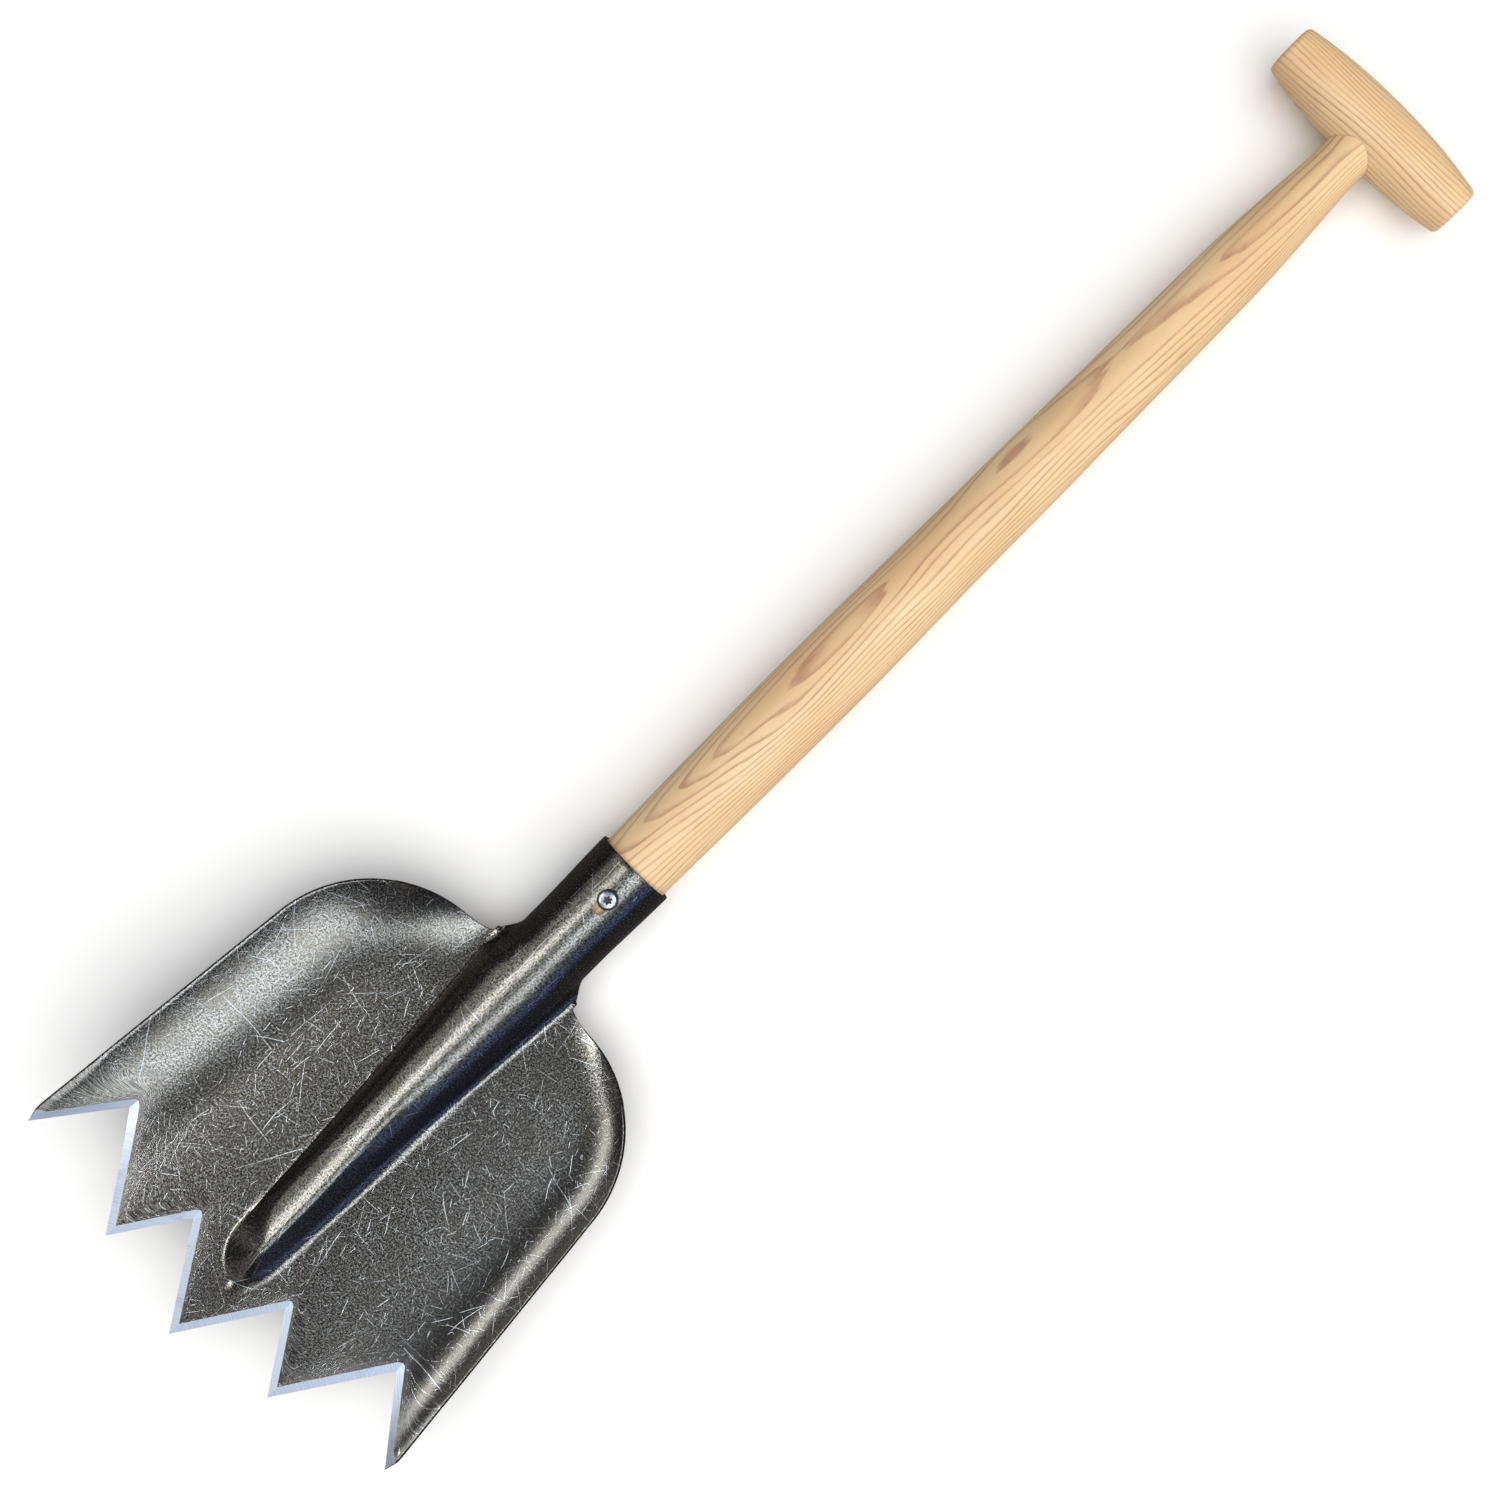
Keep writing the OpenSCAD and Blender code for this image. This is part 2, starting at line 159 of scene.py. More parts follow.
def distance_to_edge(x, s):
    """How far a place on the plate is from its shoulder or side edge."""
    if s > shoulder_s:
        return side_x + (s - side_start) * math.tan(flare) - x
    if x > shoulder_x:
        return shoulder_r - math.hypot(x - shoulder_x, s - shoulder_s)
    return s - shoulder_s + shoulder_r


def plate_height(x, s):
    """Height of the plate's front face above the shaft's axis. Its right side is dished up less."""
    if x < 0:
        high, wide, curl = dish_h, dish_w, dish_curl
    else:
        high, wide, curl = right_dish_h, right_dish_w, right_dish_curl
    x = abs(x)
    dish = clip(1 - distance_to_edge(x, s) / wide) ** curl * ease((x - dish_start_x) / dish_fade_w)
    return plate_root_z + s * plate_lift + high * dish


def ridge_width(s):
    return mix(ridge_nose_w, ridge_root_w, clip(1 - s / ridge_taper_l) ** ridge_taper)


def ridge_height(s):
    return mix(ridge_root_h, ridge_nose_h, clip(s / nose_start))


def round_ridge(s, share, side=1):
    """Point of the ridge's section near the socket: round crown, straight flank, hollow foot."""
    angle = math.radians(mix(root_flank_angle, nose_flank_angle, clip(s / section_l)))
    foot_r = mix(root_foot_r, nose_foot_r, clip(s / section_l))
    if side < 0:
        foot_r = mix(foot_r, left_foot_r, ease((s - crease_start) / crease_l))
    wide, high = ridge_width(s), ridge_height(s)
    crown_r = (wide - high / math.tan(angle)) / math.tan(angle / 2) - foot_r
    flank = (high - (crown_r + foot_r) * (1 - math.cos(angle))) / math.sin(angle)
    girth = (crown_r + foot_r) * angle + flank
    d = girth * share
    crown_d = crown_r * angle
    if d < crown_d:
        turn = d / crown_r
        return crown_r * math.sin(turn), high - crown_r * (1 - math.cos(turn))
    if d < crown_d + flank:
        down = d - crown_d
        x = crown_r * math.sin(angle) + down * math.cos(angle)
        return x, high - crown_r * (1 - math.cos(angle)) - down * math.sin(angle)
    turn = angle - (d - crown_d - flank) / foot_r
    return wide - foot_r * math.sin(turn), foot_r * (1 - math.cos(turn))


def soft_min(a, b, blend):
    """The lower of two heights, rounded off where they cross."""
    return min(a, b) - max(blend - abs(a - b), 0) ** 2 / (4 * blend)


def facet_profile(x, wide, high, crest, steep):
    """Height of the ridge where it has two faces: a broad bent left one and a steep right one."""
    left_flank = (x + wide) * steep
    left_face = high - (crest - x) * crown_slope - max(0, crest - x - crown_w) ** 2 * crown_bend
    right_face = high * (wide - x) / (wide - crest)
    top = soft_min(left_flank, soft_min(left_face, right_face, crest_blend), flank_blend)
    return -soft_min(-top, 0, left_foot_blend if x < 0 else right_foot_blend)


def facet_ridge(x, s):
    """Height of the lower ridge above the plate, with a two-lobed nose."""
    held = min(s, nose_start)
    wide, high = ridge_width(held), ridge_height(held)
    crest = crest_shift * ease((s - facet_start) / facet_l)
    beyond = max(0.0, (s - nose_start) / nose_l)
    left_x = crest - (crest + wide) * math.hypot((x - crest) / (crest + wide), beyond)
    right_x = crest + (wide - crest) * math.hypot((x - crest) / (wide - crest), beyond)
    steep = mix(flank_slope, nose_slope, ease((s - nose_slope_start) / nose_slope_l))
    left = facet_profile(left_x, wide, high, crest, steep)
    right = facet_profile(right_x, wide, high, crest, steep)
    return mix(left, right, ease((x - crest) / crest_merge_w + 0.5))


# Places of the tips and valleys across the teeth, and how far each stands back from the middle tip
tooth_x = [0, 34.5, 61, 100.2, plate_half_width(outer_tip_s)]
tooth_drop = [0, 51, 12.6, 69, outer_tip_drop]
bevel_run = bevel_w / math.sin(math.atan(tooth_x[1] / tooth_drop[1]))


def tooth_line(x):
    """How far down the plate its toothed edge lies at x."""
    return plate_l - float(np.interp(abs(x), tooth_x, tooth_drop))


# Columns of the sheet, from its middle line outwards, and its rows, from the rim to the teeth.
# The rows lie closest at the neck and round the shoulders. From fan_start they fan out.
ridge_cols = 30
cols_to_tooth = [10, 12, 16, 16]
tooth_from_x = [ridge_nose_w] + tooth_x[1:]
plate_cols = []
for k, count in enumerate(cols_to_tooth):
    plate_cols += list(np.linspace(tooth_from_x[k], tooth_from_x[k + 1], count + 1)[1:])
half_cols = ridge_cols + len(plate_cols)
fan_start = 180
fan_l = 44
fan_most = 0.75
fan_blend_l = 20
upper_rows = np.concatenate([
    np.linspace(-socket_l, -26, 20),
    np.arange(-24.5, 0, 0.75),
    [0, 0.6],
    shoulder_s - shoulder_r * np.sin(np.radians(np.linspace(88, 6, 36))),
    np.linspace(75, fan_start, 28),
])
nose_rows = np.linspace(0, 1, 27)[1:]
tooth_rows = np.linspace(0, 1, 15)[1:]


def plate_share(column):
    """How far a column of the plate lies from the ridge's foot, 0, to the side edge, 1."""
    x = plate_cols[column - ridge_cols - 1] if column > ridge_cols else ridge_nose_w
    return (x - ridge_nose_w) / (tooth_x[-1] - ridge_nose_w)


def socket_place(s, column):
    """Point of the round socket, which narrows to a waist and is flattened at its seam."""
    narrow = ease((s + socket_l) / waist_from_rim)
    angle = math.pi / 2 * column / ridge_cols
    if column > ridge_cols:
        angle = math.pi / 2 + (math.pi / 2 - seam_half_angle) * plate_share(column)
    drop = max(math.cos(angle), -math.cos(seam_flat_angle))
    half_w = mix(rim_r, waist_half_w, narrow)
    half_h = mix(rim_r, waist_half_h, narrow)
    return half_w * math.sin(angle), half_h * drop


def plate_place(s, column, side):
    """Point of the plate and its ridge."""
    held = max(s, 0)
    if column > ridge_cols:
        x = mix(ridge_width(held), plate_half_width(s), plate_share(column))
        return x, plate_height(side * x, held)
    x, top = round_ridge(held, column / ridge_cols, side)
    top = mix(top, facet_ridge(side * x, held), ease((held - facet_start) / facet_l))
    return x, top + plate_height(side * x, held)


def upper_place(s, column, side):
    """Socket, neck, shoulders and plate down to where the rows begin to fan out to the teeth."""
    x, z = plate_place(s, column, side)
    rolled = ease((-s - roll_start) / roll_l)
    if rolled > 0:
        round_x, round_z = socket_place(s, column)
        x, z = mix(x, round_x, rolled), mix(z, round_z, rolled)
    return side * x, s, z


def lower_place(near, far, column, side):
    """Rows that fan out: near runs along the ridge's nose, far runs on down to the bevels, and
    far beyond 1 is the toothed edge itself."""
    if column > ridge_cols:
        tooth_col_x = plate_cols[column - ridge_cols - 1]
    else:
        tooth_col_x = round_ridge(nose_start, column / ridge_cols)[0]
    in_valley = min(abs(tooth_col_x - tooth_x[1]), abs(tooth_col_x - tooth_x[3])) < 0.5
    last = tooth_line(tooth_col_x) - bevel_run + (valley_ease if in_valley else 0)
    middle = min(fan_l, fan_most * (last - fan_start))
    s = mix(fan_start + middle * near, last, far)
    if far > 1:
        s = tooth_line(tooth_col_x)
    x = tooth_col_x
    if column > ridge_cols:
        share = plate_share(column)
        x = tooth_col_x - share * math.tan(flare) * (tooth_line(tooth_col_x) - s)
        x = plate_half_width(s) if share == 1 else x
    x = mix(plate_place(min(s, nose_start), column, side)[0], x, ease((s - fan_start) / fan_blend_l))
    return side * x, s, plate_height(side * x, s) + facet_ridge(side * x, s)


toothed_edge = 2
columns = [(abs(c), -1 if c < 0 else 1) for c in range(-half_cols, half_cols + 1)]
places = [[upper_place(s, column, side) for column, side in columns] for s in upper_rows]
for near in nose_rows:
    places.append([lower_place(near, 0, column, side) for column, side in columns])
for far in [*tooth_rows, toothed_edge]:
    places.append([lower_place(1, far, column, side) for column, side in columns])
places = np.array(places)
root_y = rim_y - socket_l * mm
pressed = np.stack([
    places[..., 0] * mm, root_y - places[..., 1] * mm, axis_z + places[..., 2] * mm
], axis=-1)


def deselect():
    """Leaves edit mode with nothing selected, so that the next operator acts on its own piece."""
    if bpy.context.object and bpy.context.object.mode != "OBJECT":
        bpy.ops.object.mode_set(mode="OBJECT")
    bpy.ops.object.select_all(action="DESELECT")


def work_on(piece):
    """Leaves only this piece selected, and active."""
    deselect()
    piece.select_set(True)
    bpy.context.view_layer.objects.active = piece


def pick(piece, kind, wanted):
    """Goes into edit mode with only the wanted vertices, edges or faces selected."""
    work_on(piece)
    bpy.ops.object.mode_set(mode="EDIT")
    bpy.ops.mesh.select_mode(type={"vertices": "VERT", "edges": "EDGE", "polygons": "FACE"}[kind])
    bpy.ops.mesh.select_all(action="DESELECT")
    bpy.ops.object.mode_set(mode="OBJECT")
    for part in getattr(piece.data, kind):
        part.select = bool(wanted(part))
    bpy.ops.object.mode_set(mode="EDIT")


def finish_with(piece, kind, **settings):
    """Adds a modifier, sets it and applies it."""
    work_on(piece)
    modifier = piece.modifiers.new(kind.title(), kind)
    for name, value in settings.items():
        setattr(modifier, name, value)
    bpy.ops.object.modifier_apply(modifier=modifier.name)


def settle(piece):
    """Puts the piece's place in its mesh, with its object at the origin, unturned and unscaled."""
    work_on(piece)
    bpy.ops.object.transform_apply(location=True, rotation=True, scale=True)


def shade(piece, degrees):
    """Shades the piece smooth, but for edges sharper than the angle and those marked sharp."""
    work_on(piece)
    bpy.ops.object.shade_smooth_by_angle(angle=math.radians(degrees), keep_sharp_edges=True)


# The blank is a flat sheet, which the dies press into shape
row_count, col_count = pressed.shape[:2]
deselect()
bpy.ops.mesh.primitive_grid_add(x_subdivisions=col_count - 1, y_subdivisions=row_count - 1, size=1)
blade = bpy.context.object
blade.name = "steel_blade"
sheet_rows = np.empty(len(blade.data.vertices), int)
sheet_cols = np.empty(len(blade.data.vertices), int)
for vertex in blade.data.vertices:
    sheet_rows[vertex.index] = round((0.5 - vertex.co.y) * (row_count - 1))
    sheet_cols[vertex.index] = round((vertex.co.x + 0.5) * (col_count - 1))
blade.data.vertices.foreach_set("co", pressed[sheet_rows, sheet_cols].ravel())

# The sheet's own flat measure, across and along, for a skin that follows the pressed surface
steps_across = np.linalg.norm(np.diff(pressed, axis=1), axis=2)
across = np.concatenate([np.zeros((row_count, 1)), np.cumsum(steps_across, axis=1)], axis=1)
across -= across[:, half_cols][:, None]
along = pressed[..., 1]
flat = blade.data.uv_layers[0]
for loop in blade.data.loops:
    r, c = sheet_rows[loop.vertex_index], sheet_cols[loop.vertex_index]
    flat.data[loop.index].uv = (across[r, c], along[r, c])
blade.data.update()

# Thickness, then the teeth are ground down to a thin edge from the front
front_count = len(blade.data.vertices)
finish_with(blade, "SOLIDIFY", thickness=sheet_t * mm, offset=-1, use_even_offset=False)
points = np.empty(len(blade.data.vertices) * 3)
blade.data.vertices.foreach_get("co", points)
points = points.reshape(-1, 3)
ground_row = np.where(sheet_rows == row_count - 1)[0]
points[ground_row] = mix(points[ground_row + front_count], points[ground_row], edge_t / sheet_t)
blade.data.vertices.foreach_set("co", points.ravel())
blade.data.update()


def sheet_row(index):
    return sheet_rows[index % front_count]


def sheet_col(index):
    return sheet_cols[index % front_count]


# The file starts 12 mm below the root, clear of the neck
dressed_from_row = np.searchsorted(upper_rows, 12)


def on_side_edge(edge):
    """The long edges of the plate, from the shoulders to the teeth, and the rim of the socket."""
    a, b = edge.vertices
    same_face = (a < front_count) == (b < front_count)
    ends = {0, col_count - 1}
    down_side = sheet_col(a) == sheet_col(b) and sheet_col(a) in ends
    round_rim = sheet_row(a) == 0 and sheet_row(b) == 0
    below_neck = min(sheet_row(a), sheet_row(b)) > dressed_from_row
    above_bevel = max(sheet_row(a), sheet_row(b)) < row_count - 1
    return same_face and (round_rim or down_side and below_neck and above_bevel)


def on_ground_line(edge):
    """The borders of the ground bevels."""
    a, b = edge.vertices
    if sheet_row(a) != sheet_row(b) or (a < front_count) != (b < front_count):
        return False
    front_line = a < front_count and sheet_row(a) >= row_count - 2
    return front_line or sheet_row(a) == row_count - 1


def on_mitre(edge):
    """Where two bevels meet at a tip or in a valley."""
    a, b = edge.vertices
    if sheet_col(a) != sheet_col(b) or max(a, b) >= front_count:
        return False
    corner_cols = [0, *np.cumsum([ridge_cols] + cols_to_tooth)[1:-1]]
    at_corner = abs(sheet_col(a) - half_cols) in corner_cols
    return at_corner and min(sheet_row(a), sheet_row(b)) == row_count - 2


# Rows of the crease: from 8 mm below the root, and on into the first rows of the nose
crease_from_row = np.searchsorted(upper_rows, 8, side="right")
crease_nose_rows = 8


def on_left_crease(edge):
    """The sharp inside corner at the foot of the ridge's left flank."""
    a, b = edge.vertices
    if sheet_col(a) != sheet_col(b) or max(a, b) >= front_count:
        return False
    if sheet_col(a) != half_cols - ridge_cols:
        return False
    return all(crease_from_row <= sheet_row(v) < len(upper_rows) + crease_nose_rows for v in (a, b))


pick(blade, "edges", lambda edge: on_ground_line(edge) or on_mitre(edge) or on_left_crease(edge))
bpy.ops.mesh.mark_sharp()


def in_bevel(face):
    """Ground faces: those on the toothed edge that aren't on the back of the sheet."""
    low = [v for v in face.vertices if sheet_row(v) == row_count - 1]
    back = [v for v in face.vertices if v >= front_count and sheet_row(v) < row_count - 1]
    return len(low) >= 2 and not back


# Direction of the grinding lines: each bevel is measured along its own edge
deselect()
grind = blade.data.attributes.new("grind", "FLOAT", "CORNER")
for face in blade.data.polygons:
    face.material_index = 0
    if in_bevel(face):
        face.material_index = 1
        x = face.center.x / mm
        k = min(int(np.searchsorted(tooth_x, abs(x), side="right")), 4)
        slope = math.atan2(tooth_drop[k] - tooth_drop[k - 1], tooth_x[k] - tooth_x[k - 1])
        edge_way = Vector((math.cos(slope), math.copysign(math.sin(slope), x), 0))
        for loop in face.loop_indices:
            vertex = blade.data.vertices[blade.data.loops[loop].vertex_index]
            grind.data[loop].value = vertex.co @ edge_way

# How brightly scratches and specks show at each place: most on the open plate, least on steep faces.
# Partly wear in use, partly painted shade on the steep faces.
least_wear_and_shade = 0.12
steep_face = 0.6
steep_to_open = 0.36
wear_and_shade = blade.data.attributes.new("wear_and_shade", "FLOAT", "CORNER")
for loop in blade.data.loops:
    facing_up = abs(blade.data.vertices[loop.vertex_index].normal.z)
    wear_and_shade.data[loop.index].value = mix(least_wear_and_shade, 1, ease((facing_up - steep_face) / steep_to_open))

# The sheet's long edges are dressed round with a file
pick(blade, "edges", on_side_edge)
bpy.ops.mesh.bevel(offset=dressed_edge * mm, offset_type="OFFSET", segments=2, affect="EDGES")
deselect()

# The slot for the screw is punched through the front of the socket
screw_turn = math.radians(4)
screw_y = rim_y - 21 * mm
slot_r = 3.5 * mm
slot_reach = 6.6 * mm
punch_l = 20 * mm
punch_z = axis_z + 22 * mm
bpy.ops.mesh.primitive_cylinder_add(
    vertices=48, radius=slot_r, depth=punch_l, location=(0, screw_y, punch_z))
slot_punch = bpy.context.object
settle(slot_punch)
pick(slot_punch, "vertices", lambda vertex: vertex.co.y < screw_y - 0.01 * mm)
bpy.ops.transform.translate(value=(0, -slot_reach, 0))
work_on(slot_punch)
slot_punch.rotation_euler.y = screw_turn
slot_punch.location = Vector((math.sin(screw_turn), 0, math.cos(screw_turn) - 1)) * -axis_z
settle(slot_punch)
finish_with(blade, "BOOLEAN", object=slot_punch, operation="DIFFERENCE", solver="EXACT")
bpy.data.objects.remove(slot_punch)
shade(blade, 34)


# How the finishes are put together: small steps that feed each other
def feed(tree, socket, value):
    """Links a socket to another, or sets it to a plain value."""
    if isinstance(value, bpy.types.NodeSocket):
        tree.links.new(value, socket)
    else:
        socket.default_value = value


def step(tree, operation, first, second=0.0, third=0.0):
    node = tree.nodes.new("ShaderNodeMath")
    node.operation = operation
    feed(tree, node.inputs[0], first)
    feed(tree, node.inputs[1], second)
    feed(tree, node.inputs[2], third)
    return node.outputs[0]


def ramp(tree, value, low, high, to_low=0.0, to_high=1.0):
    """A smooth rise or fall from to_low to to_high, as the value goes from low to high."""
    node = tree.nodes.new("ShaderNodeMapRange")
    node.interpolation_type = "SMOOTHSTEP"
    for socket, given in zip(node.inputs, (value, low, high, to_low, to_high)):
        feed(tree, socket, given)
    return node.outputs[0]


def tint(tree, share, first, second):
    """A mix of two colours: all the second one at a share of 1."""
    node = tree.nodes.new("ShaderNodeMix")
    node.data_type = "RGBA"
    node.clamp_factor = True
    feed(tree, node.inputs[0], share)
    feed(tree, node.inputs[6], first)
    feed(tree, node.inputs[7], second)
    return node.outputs[2]


def placed(tree, source, scale=(1, 1, 1), move=(0, 0, 0), turn=(0, 0, 0)):
    """The same place, scaled, moved and turned. A scale of 1000 makes it millimetres."""
    node = tree.nodes.new("ShaderNodeMapping")
    node.inputs["Scale"].default_value = scale
    node.inputs["Location"].default_value = move
    node.inputs["Rotation"].default_value = turn
    tree.links.new(source, node.inputs["Vector"])
    return node.outputs[0]


def cloud(tree, place, size, detail=2.0, rough=0.5, output=0):
    """Cloudy pattern with blotches of about the given size, in the units of its place."""
    node = tree.nodes.new("ShaderNodeTexNoise")
    tree.links.new(place, node.inputs["Vector"])
    node.inputs["Scale"].default_value = 1 / size
    node.inputs["Detail"].default_value = detail
    node.inputs["Roughness"].default_value = rough
    return node.outputs[output]


def vector_step(tree, operation, first, second):
    node = tree.nodes.new("ShaderNodeVectorMath")
    node.operation = operation
    feed(tree, node.inputs[0], first)
    feed(tree, node.inputs[1], second)
    return node.outputs["Value" if operation == "DOT_PRODUCT" else "Vector"]


def wavered(tree, place, amount, size):
    """The same place, pushed about a little, so that lines drawn on it bend."""
    push = vector_step(tree, "SUBTRACT", cloud(tree, place, size, 1.0, 0.5, 1), (0.5, 0.5, 0.5))
    far = vector_step(tree, "MULTIPLY", push, (amount, amount, 0))
    return vector_step(tree, "ADD", place, far)


def scratch_set(tree, place, cell, width, reach, seed):
    """Fine lines at all angles, about one in each cell of the given size. Sizes in millimetres."""
    bent = placed(tree, wavered(tree, place, cell * 0.22, cell * 1.1),
                  scale=(1 / cell, 1 / cell, 1), move=(seed * 7.31, seed * 3.77, 0))
    cells = tree.nodes.new("ShaderNodeTexVoronoi")
    cells.voronoi_dimensions = "2D"
    cells.inputs["Scale"].default_value = 1
    tree.links.new(bent, cells.inputs["Vector"])
    chance = tree.nodes.new("ShaderNodeSeparateColor")
    tree.links.new(cells.outputs["Color"], chance.inputs[0])
    angle = step(tree, "MULTIPLY", chance.outputs[0], 2 * math.pi)
    way = tree.nodes.new("ShaderNodeCombineXYZ")
    feed(tree, way.inputs[0], step(tree, "COSINE", angle))
    feed(tree, way.inputs[1], step(tree, "SINE", angle))
    normal = tree.nodes.new("ShaderNodeCombineXYZ")
    feed(tree, normal.inputs[0], step(tree, "MULTIPLY", step(tree, "SINE", angle), -1.0))
    feed(tree, normal.inputs[1], step(tree, "COSINE", angle))
    away = vector_step(tree, "SUBTRACT", bent, cells.outputs["Position"])
    beside = step(tree, "ABSOLUTE", vector_step(tree, "DOT_PRODUCT", away, normal.outputs[0]))
    down = step(tree, "ABSOLUTE", vector_step(tree, "DOT_PRODUCT", away, way.outputs[0]))
    line = ramp(tree, beside, 0.3 * width / cell, width / cell, 1, 0)
    ends = ramp(tree, down, 0.4 * reach, reach, 1, 0)
    depth = ramp(tree, chance.outputs[1], 0.3, 1.0, 0.05, 1.0)
    return step(tree, "MULTIPLY", step(tree, "MULTIPLY", line, ends), depth)


def new_finish(name):
    """A material with its Principled shader, ready for its pattern."""
    material = bpy.data.materials.new(name)
    material.use_nodes = True
    tree = material.node_tree
    return material, tree, tree.nodes["Principled BSDF"]


def raised(tree, shader, height, strength, distance):
    """A fine relief too small for the mesh."""
    node = tree.nodes.new("ShaderNodeBump")
    node.inputs["Strength"].default_value = strength
    node.inputs["Distance"].default_value = distance
    tree.links.new(height, node.inputs["Height"])
    tree.links.new(node.outputs[0], shader.inputs["Normal"])


# Scratches: size of a cell, width, half length as a share of the cell, and seed
finest_scratches = (3.4, 0.1, 0.42, 1)
scratch_sizes = [
    (6, 0.1, 0.48, 2), (9, 0.11, 0.52, 3), (15, 0.13, 0.56, 4), (17, 0.13, 0.56, 8),
    (27, 0.15, 0.58, 5), (31, 0.16, 0.58, 7), (48, 0.19, 0.6, 6),
]
finest_share = 0.6
scratch_share = 0.72
speck_share = 0.2
scale_dark = (0.03, 0.025, 0.02, 1)
scale_pale = (0.195, 0.176, 0.152, 1)
scale_brown = (0.085, 0.07, 0.055, 1)
right_side_shade_black = (0.035, 0.031, 0.027, 1)
bare_steel = (0.8, 0.81, 0.82, 1)


def scaled_steel():
    """Dark skin of hot-pressed steel: brown-black scale, bright specks, scratches on scratches, and
    painted shade on its right side and steep faces.
    """
    material, tree, shader = new_finish("scaled_steel")
    source = tree.nodes.new("ShaderNodeTexCoord")
    sheet = placed(tree, source.outputs["UV"], scale=(1000, 1000, 1))
    blotch = cloud(tree, sheet, 22, 4, 0.6)
    grain = cloud(tree, sheet, 1.1, 3, 0.65)
    pepper = cloud(tree, placed(tree, sheet, move=(400, 90, 0)), 0.7, 2, 0.6)
    scratches = step(tree, "MULTIPLY", scratch_set(tree, sheet, *finest_scratches), finest_share)
    for sizes in scratch_sizes:
        scratches = step(tree, "MAXIMUM", scratches, scratch_set(tree, sheet, *sizes))
    patchy = ramp(tree, cloud(tree, sheet, 30, 3), 0.3, 0.62, 0.35, 1.0)
    scratches = step(tree, "MULTIPLY", scratches, step(tree, "MULTIPLY", patchy, scratch_share))
    specks = step(tree, "MULTIPLY", ramp(tree, pepper, 0.63, 0.77), speck_share)
    wear_and_shade_node = tree.nodes.new("ShaderNodeAttribute")
    wear_and_shade_node.attribute_name = "wear_and_shade"
    # Painted shade in part: the bright scratches and specks are dimmed on steep faces.
    bright = step(tree, "MULTIPLY", step(tree, "MAXIMUM", scratches, specks), wear_and_shade_node.outputs["Fac"])
    dark = tint(tree, ramp(tree, grain, 0.38, 0.62), scale_dark, scale_pale)
    dark = tint(tree, ramp(tree, blotch, 0.42, 0.7, 0, 0.6), dark, scale_brown)
    parts = tree.nodes.new("ShaderNodeSeparateXYZ")
    tree.links.new(source.outputs["Object"], parts.inputs[0])
    # Painted shade: the right side, from 70 to 100 mm out from the middle, is darkened towards black to
    # dim its gleams.
    right_side_shade = ramp(tree, parts.outputs[0], 70 * mm, 100 * mm, 0, 0.8)
    dark = tint(tree, right_side_shade, dark, right_side_shade_black)
    feed(tree, shader.inputs["Base Color"], tint(tree, bright, dark, bare_steel))
    feed(tree, shader.inputs["Metallic"], ramp(tree, bright, 0, 1, 0.98, 0.4))
    roughness = ramp(tree, grain, 0.3, 0.7, 0.19, 0.28)
    on_crown = ramp(tree, step(tree, "ABSOLUTE", parts.outputs[0]), 8 * mm, 15 * mm, 0.07, 0)
    on_crown = step(tree, "MULTIPLY", on_crown, ramp(tree, parts.outputs[1], -420 * mm, -400 * mm))
    roughness = step(tree, "ADD", roughness, on_crown)
    roughness = step(tree, "ADD", roughness, step(tree, "MULTIPLY", bright, 0.1))
    feed(tree, shader.inputs["Roughness"], roughness)
    height = step(tree, "ADD", grain, step(tree, "MULTIPLY", cloud(tree, sheet, 5, 3), 1.5))
    height = step(tree, "SUBTRACT", height, step(tree, "MULTIPLY", scratches, 0.5))
    raised(tree, shader, height, 0.55, 0.09 * mm)
    return material


bevel_blue = (0.6, 0.66, 0.78, 1)
bevel_white = (0.86, 0.91, 0.98, 1)
bevel_stain = (0.4, 0.45, 0.55, 1)


def ground_steel():
    """Bright ground bevel with fine lines across it, left by the wheel."""
    material, tree, shader = new_finish("ground_steel")
    run = tree.nodes.new("ShaderNodeAttribute")
    run.attribute_name = "grind"
    source = tree.nodes.new("ShaderNodeTexCoord")
    place = placed(tree, source.outputs["Object"], scale=(1000, 1000, 1000))
    way = tree.nodes.new("ShaderNodeCombineXYZ")
    feed(tree, way.inputs[0], step(tree, "MULTIPLY", run.outputs["Fac"], 1000.0))
    feed(tree, way.inputs[1], step(tree, "MULTIPLY", cloud(tree, place, 9), 0.8))
    lines = cloud(tree, way.outputs[0], 0.6, 3, 0.6)
    stain = cloud(tree, place, 14, 3)
    colour = tint(tree, ramp(tree, lines, 0.3, 0.7), bevel_blue, bevel_white)
    colour = tint(tree, ramp(tree, stain, 0.55, 0.75, 0, 0.35), colour, bevel_stain)
    feed(tree, shader.inputs["Base Color"], colour)
    shader.inputs["Metallic"].default_value = 0.75
    feed(tree, shader.inputs["Roughness"], ramp(tree, lines, 0.3, 0.7, 0.5, 0.34))
    raised(tree, shader, lines, 0.5, 0.1 * mm)
    return material


blade.data.materials.append(scaled_steel())
blade.data.materials.append(ground_steel())
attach(blade, "root")
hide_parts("blade")

# ---- Shaft ----
# One piece of ash, turned and sanded: its tapered foot is driven into the socket, it is thickest just
# above, and it narrows to a neck. The end is coped to sit over the grip, and a round tenon goes on
# through the grip, sawn down its middle for a wedge. Finished with a thin coat of oil.

